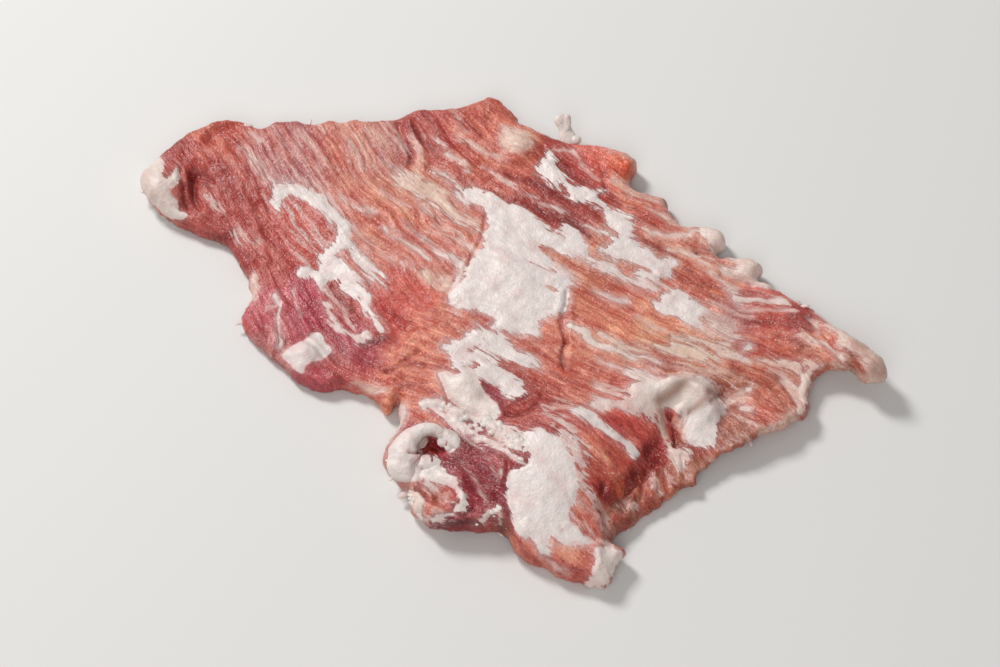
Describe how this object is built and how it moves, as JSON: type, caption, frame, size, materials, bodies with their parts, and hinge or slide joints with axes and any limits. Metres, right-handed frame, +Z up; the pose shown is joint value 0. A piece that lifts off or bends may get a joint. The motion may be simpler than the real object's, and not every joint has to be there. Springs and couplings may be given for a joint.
{
  "type": "pork flank steak",
  "caption": "Thin, irregular slab of raw pork with white fat and streaky grain, lying flat, with a folded ridge, a rolled lip of fat and a hooked end.",
  "frame": {"origin": "under the middle of the steak's plan, on the surface that it rests on", "axes": "+X along its longest side towards the hooked end, +Y across it towards the straight far edge, +Z up"},
  "size_m": [0.263, 0.2064, 0.0163],
  "materials": {
    "raw_pork": "moist raw meat, salmon red with white and cream fat, satin with small wet glints"
  },
  "bodies": {
    "root": {"steak": "raw_pork"}
  },
  "joints": []
}
